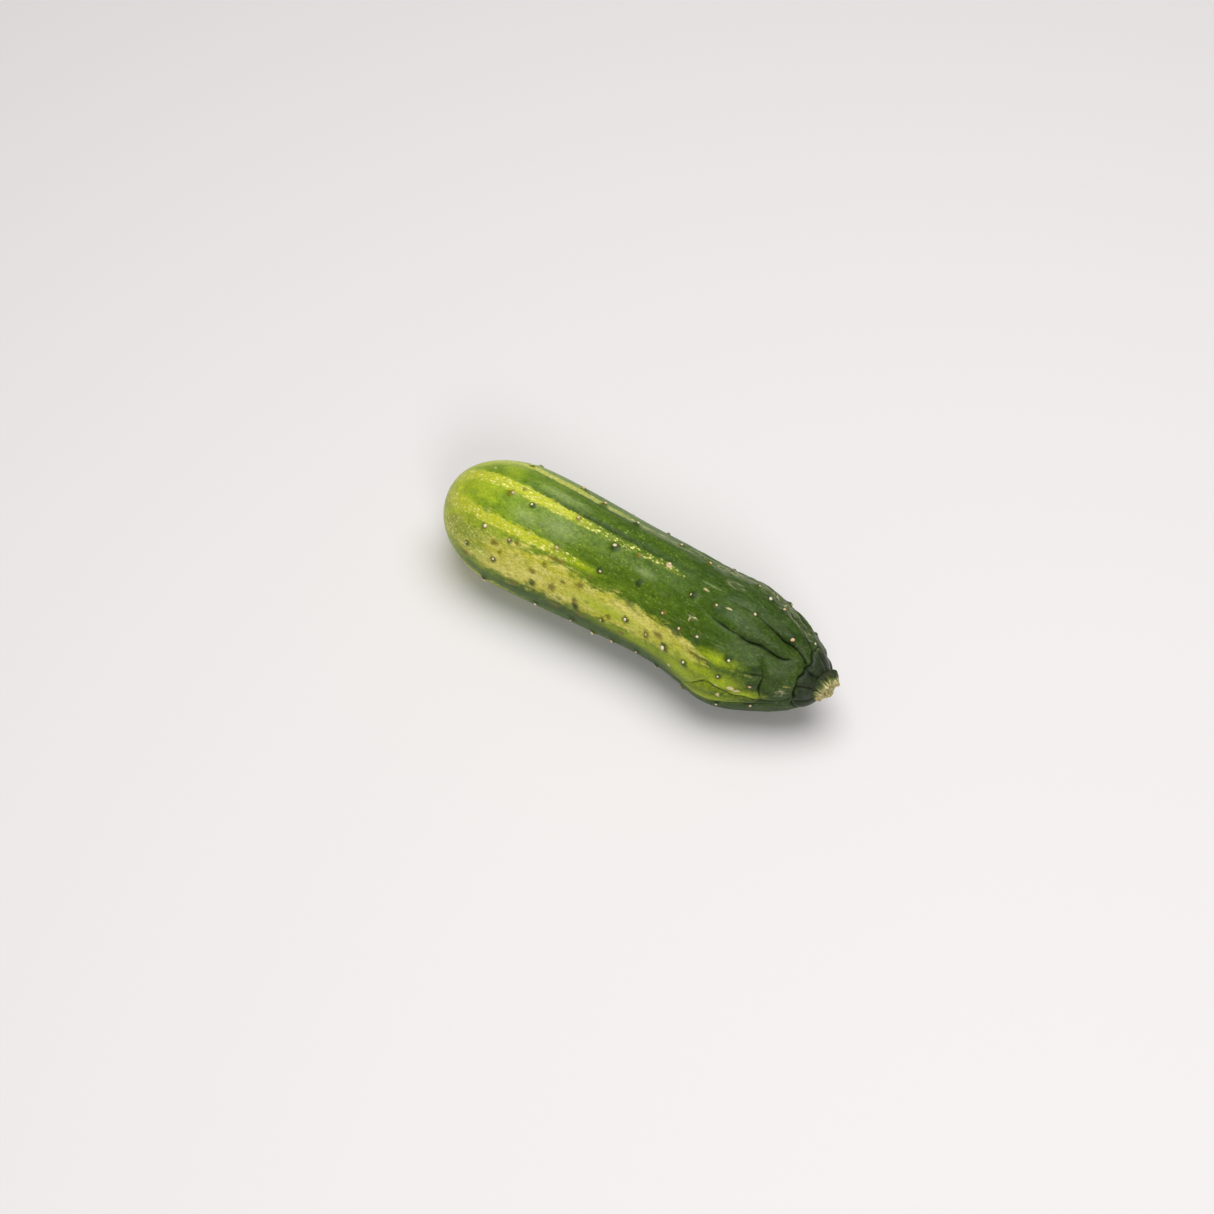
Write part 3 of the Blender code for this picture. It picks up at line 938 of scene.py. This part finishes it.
stubs_made = bmesh.new()
stub_chance = random.Random(STUB_SEED)
for place_along, turn, size in wart_places():
    centre = bent(straight_skin(np.array(place_along), np.array(turn))) + to_model
    near = np.argmin(np.linalg.norm(laid - centre, axis=1))
    normal = Vector(skin_outwards[near])
    tip = Vector(laid[near])
    radius = STUB_RADIUS * size * stub_chance.uniform(*STUB_SIZES)
    spin = Matrix.Rotation(stub_chance.uniform(0, math.tau), 4, "Z")
    if stub_chance.random() < BARE_SHARE:
        continue
    upright = normal.to_track_quat("Z", "Y").to_matrix().to_4x4()
    squash = Matrix.Diagonal((1, stub_chance.uniform(*STUB_WIDTHS), STUB_FLATNESS, 1))
    bead = bmesh.ops.create_icosphere(
        stubs_made,
        subdivisions=2,
        radius=radius,
        matrix=Matrix.Translation(tip) @ upright @ spin @ squash,
    )
    for vertex in bead["verts"]:
        vertex.co += STUB_LUMP_SHARE * radius * noise.noise_vector(vertex.co * STUB_LUMPS)
stubs = finished(stubs_made, "spine_stubs")

CORK_CREAM = (0.78, 0.66, 0.42, 1)
CORK_BROWN = (0.62, 0.36, 0.14, 1)
CORK_WHITE = (0.92, 0.88, 0.72, 1)

cork, tree, shader = new_material("spine_cork", 0.5)
place = tree.nodes.new("ShaderNodeTexCoord").outputs["Object"]
tone = patches(tree, place, (160, 160, 160), 1)
rough = patches(tree, place, (3500, 3500, 3500), 2)
colour = cover(tree, rise(tree, tone, 0.40, 0.62), CORK_CREAM, CORK_BROWN)
colour = cover(tree, rise(tree, rough, 0.45, 0.7, 0, 0.5), colour, CORK_WHITE)
tree.links.new(colour, shader.inputs["Base Color"])
roughen(tree, shader, rough, 0.5, 0.05 * MM)
stubs.data.materials.append(cork)
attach(stubs, "root")

# ---------------------------------------------------------------- the stalk stump
# The stump is what is left of the stalk where the fruit was twisted off: a short flared base that
# grows out of the knob, ribbed with tough fibres, and torn off in a rough dry face.

STUMP_RIBS = 5
STUMP_TILT = math.radians(20)
STUMP_DROP = 1.0 * MM
STUMP_RINGS = 72
STUMP_SEGMENTS = 160
RIM_RADIUS = 4.3  # in millimetres, as the profile is
RIB_SHARE = 0.030  # how far ribs, strands and hairs stand out, as shares of the radius
STRAND_SHARE = 0.075
HAIR_SHARE = 0.035
TEAR_HEIGHT = 0.8  # how ragged the rim and the torn middle are, in millimetres
PITH_HEIGHT = 0.6
# The turned shape, from the middle of the buried foot, over the rim, to the middle of the tear:
# how far out and how far up each place is, in millimetres.
STUMP_PROFILE = [
    (0, -4.2),
    (5.4, -4.2),
    (7.1, -3.2),
    (6.9, -2.2),
    (6.3, -1.2),
    (5.6, -0.3),
    (5.0, 0.5),
    (4.5, 1.1),
    (3.3, 0.8),
    (1.6, 0.4),
    (0, 0.7),
]
RIM_PLACE = 7  # the rim's place in the profile, counted from 0
PROFILE_STEPS = 24  # steps between two places
RIM_REACH = 30  # steps either side of the rim

stump_made = bmesh.new()
bmesh.ops.create_uvsphere(stump_made, u_segments=STUMP_SEGMENTS, v_segments=STUMP_RINGS, radius=1)
ball = np.array([vertex.co for vertex in stump_made.verts])
turned = smooth_line(STUMP_PROFILE, PROFILE_STEPS)
turned[:, 0] = np.maximum(turned[:, 0], 0)
down = (np.arccos(np.clip(-ball[:, 2], -1, 1)) / math.pi) * (len(turned) - 1)
out = np.interp(down, np.arange(len(turned)), turned[:, 0])
up = np.interp(down, np.arange(len(turned)), turned[:, 1])
turn = np.arctan2(ball[:, 1], ball[:, 0])
rim = hump(down, RIM_PLACE * PROFILE_STEPS, RIM_REACH)
inside = between(down, RIM_PLACE * PROFILE_STEPS, (RIM_PLACE + 1) * PROFILE_STEPS)
for number in range(len(ball)):
    ring = Vector((math.cos(turn[number]), math.sin(turn[number]), 0))
    strand = noise.noise(ring * 9 + Vector((0, 0, up[number] * 0.12)))
    hair = noise.noise(ring * 24 + Vector((0, 0, up[number] * 0.1)))
    tear = 1.3 * noise.noise(ring * 1.2 + Vector((5, 0, 0))) + 0.5 * noise.noise(ring * 5) + 0.4 * hair
    rib = math.cos(STUMP_RIBS * turn[number] + 0.8 * math.sin(2 * turn[number]))
    outside = between(up[number], -3.2, -1.6) * between(out[number], 1.0, 3.5)
    pith = noise.noise(Vector((out[number] * ring.x, out[number] * ring.y, 0)) * 1.3)
    out[number] *= 1 + outside * (RIB_SHARE * rib + STRAND_SHARE * strand + HAIR_SHARE * hair)
    up[number] += TEAR_HEIGHT * rim[number] * tear + PITH_HEIGHT * pith * inside[number]
heading = Vector((1, 0, 0)) + Vector(DROOP_WAY) * math.tan(STUMP_TILT)
seat = bent(np.array([LENGTH, 0.0, 0.0])) + DROOP_WAY * STUMP_DROP + to_model
stand = Matrix.Translation(Vector(seat)) @ heading.to_track_quat("Z", "Y").to_matrix().to_4x4()
for vertex, far, high, angle in zip(stump_made.verts, out, up, turn):
    vertex.co = stand @ (MM * Vector((far * math.cos(angle), far * math.sin(angle), high)))
bmesh.ops.recalc_face_normals(stump_made, faces=stump_made.faces)
stump = finished(stump_made, "stalk_stump")
spread = np.minimum(out, RIM_RADIUS)
fibre_place = np.stack([np.cos(turn) * spread, np.sin(turn) * spread, up], axis=-1)
own = stump.data.attributes.new("fibre", "FLOAT_VECTOR", "POINT")
own.data.foreach_set("vector", fibre_place.astype(np.float32).ravel())

FIBRE_DARK = (0.018, 0.028, 0.010, 1)
FIBRE_GREEN = (0.12, 0.165, 0.030, 1)
FIBRE_STRAW = (0.50, 0.42, 0.18, 1)
FIBRE_PALE_HIGHLIGHT = (0.85, 0.75, 0.46, 1)
FIBRE_SHADOW = (0.085, 0.085, 0.02, 1)

fibre, tree, shader = new_material("stalk_fibre", 0.65)
shader.inputs["Specular IOR Level"].default_value = 0.25
place = attribute(tree, "fibre", "Vector")
up_mm = parts_of(tree, place)[2]
strands = patches(tree, place, (0.9, 0.9, 0.25), 5, 0.7, 0.9)
fine = patches(tree, place, (4.5, 4.5, 0.7), 3, 0.65, 0.5)
height_up = calculate(tree, "ADD", up_mm, rise(tree, strands, 0.3, 0.7, -1.3, 1.3))
colour = cover(tree, rise(tree, height_up, -1.9, 0.0), FIBRE_DARK, FIBRE_GREEN)
colour = cover(tree, rise(tree, height_up, -0.7, 1.0), colour, FIBRE_STRAW)
# Pale cream on the upper strands: partly the dry fibres' own colour, partly a painted highlight.
pale_highlit_strands = times(tree, rise(tree, strands, 0.54, 0.66), rise(tree, up_mm, -1.6, 0.7))
colour = cover(tree, pale_highlit_strands, colour, FIBRE_PALE_HIGHLIGHT)
colour = cover(tree, rise(tree, fine, 0.50, 0.68, 0, 0.7), colour, FIBRE_SHADOW)
tree.links.new(colour, shader.inputs["Base Color"])
roughen(tree, shader, calculate(tree, "MULTIPLY_ADD", fine, 0.5, strands), 0.8, 0.3 * MM)
stump.data.materials.append(fibre)
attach(stump, "root")

# ---------------------------------------------------------------- the flower scar
# Where the dried flower fell off the other end, a thin corky disc has grown over the hollow in
# the skin. It has a ragged raised rim, a sunken ring with a star of cracks, and in its middle a
# crumb of the flower.

SCAR_DISC_RADIUS = 3.5 * MM
SCAR_DISC_THICKNESS = 0.60 * MM
SCAR_SEAT = 0.30 * MM  # how far the disc's middle is inside the blossom end
SCAR_RINGS = 60
SCAR_SEGMENTS = 120
CRACKS = 5

disc_made = bmesh.new()
bmesh.ops.create_uvsphere(disc_made, u_segments=SCAR_SEGMENTS, v_segments=SCAR_RINGS, radius=1)
pole = bent(np.array([SCAR_SEAT, 0.0, 0.0])) + to_model
from_middle = []
for vertex in disc_made.verts:
    far = math.hypot(vertex.co.x, vertex.co.y)
    angle = math.atan2(vertex.co.y, vertex.co.x)
    ring = Vector((math.cos(angle), math.sin(angle), 0))
    spikes = abs(noise.noise(ring * 6))
    edge = SCAR_DISC_RADIUS * (0.94 + 0.10 * noise.noise(ring * 2) + 0.30 * far**3 * spikes)
    crack = abs(math.sin(CRACKS * angle / 2 + 0.5 * noise.noise(ring * 3)))
    crack = math.exp(-crack * far * 9) * between(far, 0.12, 0.3)
    crumbs = noise.noise(Vector((far * ring.x, far * ring.y, 0)) * 6)
    rim = hump(far, 0.82, 0.15) * (1 + noise.noise(ring * 4))
    swell = 0.45 + 0.9 * rim - 0.5 * hump(far, 0.42, 0.2) + 0.7 * hump(far, 0, 0.16)
    thick = vertex.co.z * (swell + 0.4 * crumbs - 0.4 * crack) * SCAR_DISC_THICKNESS
    vertex.co = Vector(pole) + Vector((-thick, far * edge * ring.y, far * edge * ring.x))
    from_middle.append(far)
bmesh.ops.recalc_face_normals(disc_made, faces=disc_made.faces)
flower_scar = finished(disc_made, "flower_scar")
flower_scar.data.attributes.new("from_middle", "FLOAT", "POINT").data.foreach_set("value", from_middle)

SCAR_BROWN = (0.55, 0.30, 0.10, 1)
SCAR_TAN = (0.84, 0.58, 0.28, 1)
SCAR_PIT = (0.17, 0.07, 0.02, 1)
SCAR_RIM = (0.92, 0.72, 0.40, 1)
SCAR_CRUMB = (0.95, 0.82, 0.56, 1)
SCAR_OUTLINE = (0.30, 0.12, 0.03, 1)

scar_cork, tree, shader = new_material("scar_cork", 0.7)
shader.inputs["Specular IOR Level"].default_value = 0.25
place = tree.nodes.new("ShaderNodeTexCoord").outputs["Object"]
blotch = patches(tree, place, (900, 900, 900), 4, 0.7, 0.5)
crumb = patches(tree, place, (3800, 3800, 3800), 3, 0.7)
frayed = calculate(tree, "ADD", attribute(tree, "from_middle"), rise(tree, blotch, 0.3, 0.7, -0.14, 0.14))
colour = cover(tree, rise(tree, blotch, 0.35, 0.65), SCAR_BROWN, SCAR_TAN)
pits = times(tree, rise(tree, frayed, 0.22, 0.36), rise(tree, frayed, 0.64, 0.48))
pits = times(tree, pits, rise(tree, crumb, 0.54, 0.42, 0.25, 0.95))
colour = cover(tree, pits, colour, SCAR_PIT)
colour = cover(tree, rise(tree, frayed, 0.62, 0.80), colour, SCAR_RIM)
colour = cover(tree, rise(tree, crumb, 0.52, 0.66, 0, 0.6), colour, SCAR_CRUMB)
colour = cover(tree, rise(tree, frayed, 0.96, 1.04), colour, SCAR_OUTLINE)
tree.links.new(colour, shader.inputs["Base Color"])
roughen(tree, shader, calculate(tree, "MULTIPLY_ADD", crumb, 0.5, blotch), 0.8, 0.15 * MM)
flower_scar.data.materials.append(scar_cork)
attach(flower_scar, "root")

# ---------------------------------------------------------------- the floor, light and camera
# A pale table top, one large soft light overhead, a weaker one beside the camera, and the pale
# room round them. The camera looks down at the fruit from in front of its stem end.

FLOOR_SIDE = 6.0
FLOOR_GAP = 0.05 * MM  # the floor lies this much under the fruit
FLOOR_GREY = (0.80, 0.775, 0.77, 1)
ROOM_WHITE = (1.0, 0.985, 0.97, 1)
ROOM_STRENGTH = 0.22
LIT_POINT = (0, 0, 0.02)

floor_made = bmesh.new()
bmesh.ops.create_grid(floor_made, x_segments=1, y_segments=1, size=FLOOR_SIDE / 2)
bmesh.ops.translate(floor_made, vec=(0, 0, -FLOOR_GAP), verts=floor_made.verts)
floor = finished(floor_made, "floor")
pale, tree, shader = new_material("pale_floor", 0.8)
shader.inputs["Base Color"].default_value = FLOOR_GREY
shader.inputs["Specular IOR Level"].default_value = 0.1
floor.data.materials.append(pale)

room = bpy.data.worlds.new("room")
room.use_nodes = True
room.node_tree.nodes["Background"].inputs["Color"].default_value = ROOM_WHITE
room.node_tree.nodes["Background"].inputs["Strength"].default_value = ROOM_STRENGTH
bpy.context.scene.world = room


def add_light(name, watts, size, position):
    """A round soft light aimed at the middle of the fruit."""
    lamp = bpy.data.lights.new(name, "AREA")
    lamp.energy = watts
    lamp.shape = "DISK"
    lamp.size = size
    holder = bpy.data.objects.new(name, lamp)
    holder.location = position
    holder.rotation_mode = "QUATERNION"
    holder.rotation_quaternion = (Vector(LIT_POINT) - Vector(position)).to_track_quat("-Z", "Y")
    bpy.context.scene.collection.objects.link(holder)


add_light("overhead", 15.0, 1.3, (0.10, 0.10, 1.3))
add_light("beside_camera", 10.5, 0.6, (1.0, -1.1, 1.0))

CAMERA_AZIMUTH = math.radians(34.4)
CAMERA_ELEVATION = math.radians(48)
CAMERA_DISTANCE = 1.07
LENS = 85
SENSOR = 36
CAMERA_RIGHT = -0.0114  # how far it is moved in its own plane, so that the fruit lies off centre
CAMERA_UP = -0.0066
TARGET = Vector((0, 0, 0.023))

lens = bpy.data.cameras.new("camera")
lens.lens = LENS
lens.sensor_width = SENSOR
camera = bpy.data.objects.new("camera", lens)
bpy.context.scene.collection.objects.link(camera)
flat = math.cos(CAMERA_ELEVATION)
back = Vector(
    (math.sin(CAMERA_AZIMUTH) * flat, -math.cos(CAMERA_AZIMUTH) * flat, math.sin(CAMERA_ELEVATION))
)
to_right = Vector((math.cos(CAMERA_AZIMUTH), math.sin(CAMERA_AZIMUTH), 0))
to_top = back.cross(to_right)
camera.location = TARGET + back * CAMERA_DISTANCE + to_right * CAMERA_RIGHT + to_top * CAMERA_UP
camera.rotation_mode = "QUATERNION"
camera.rotation_quaternion = (-back).to_track_quat("-Z", "Y")
bpy.context.scene.camera = camera
bpy.context.scene.view_settings.view_transform = "Standard"
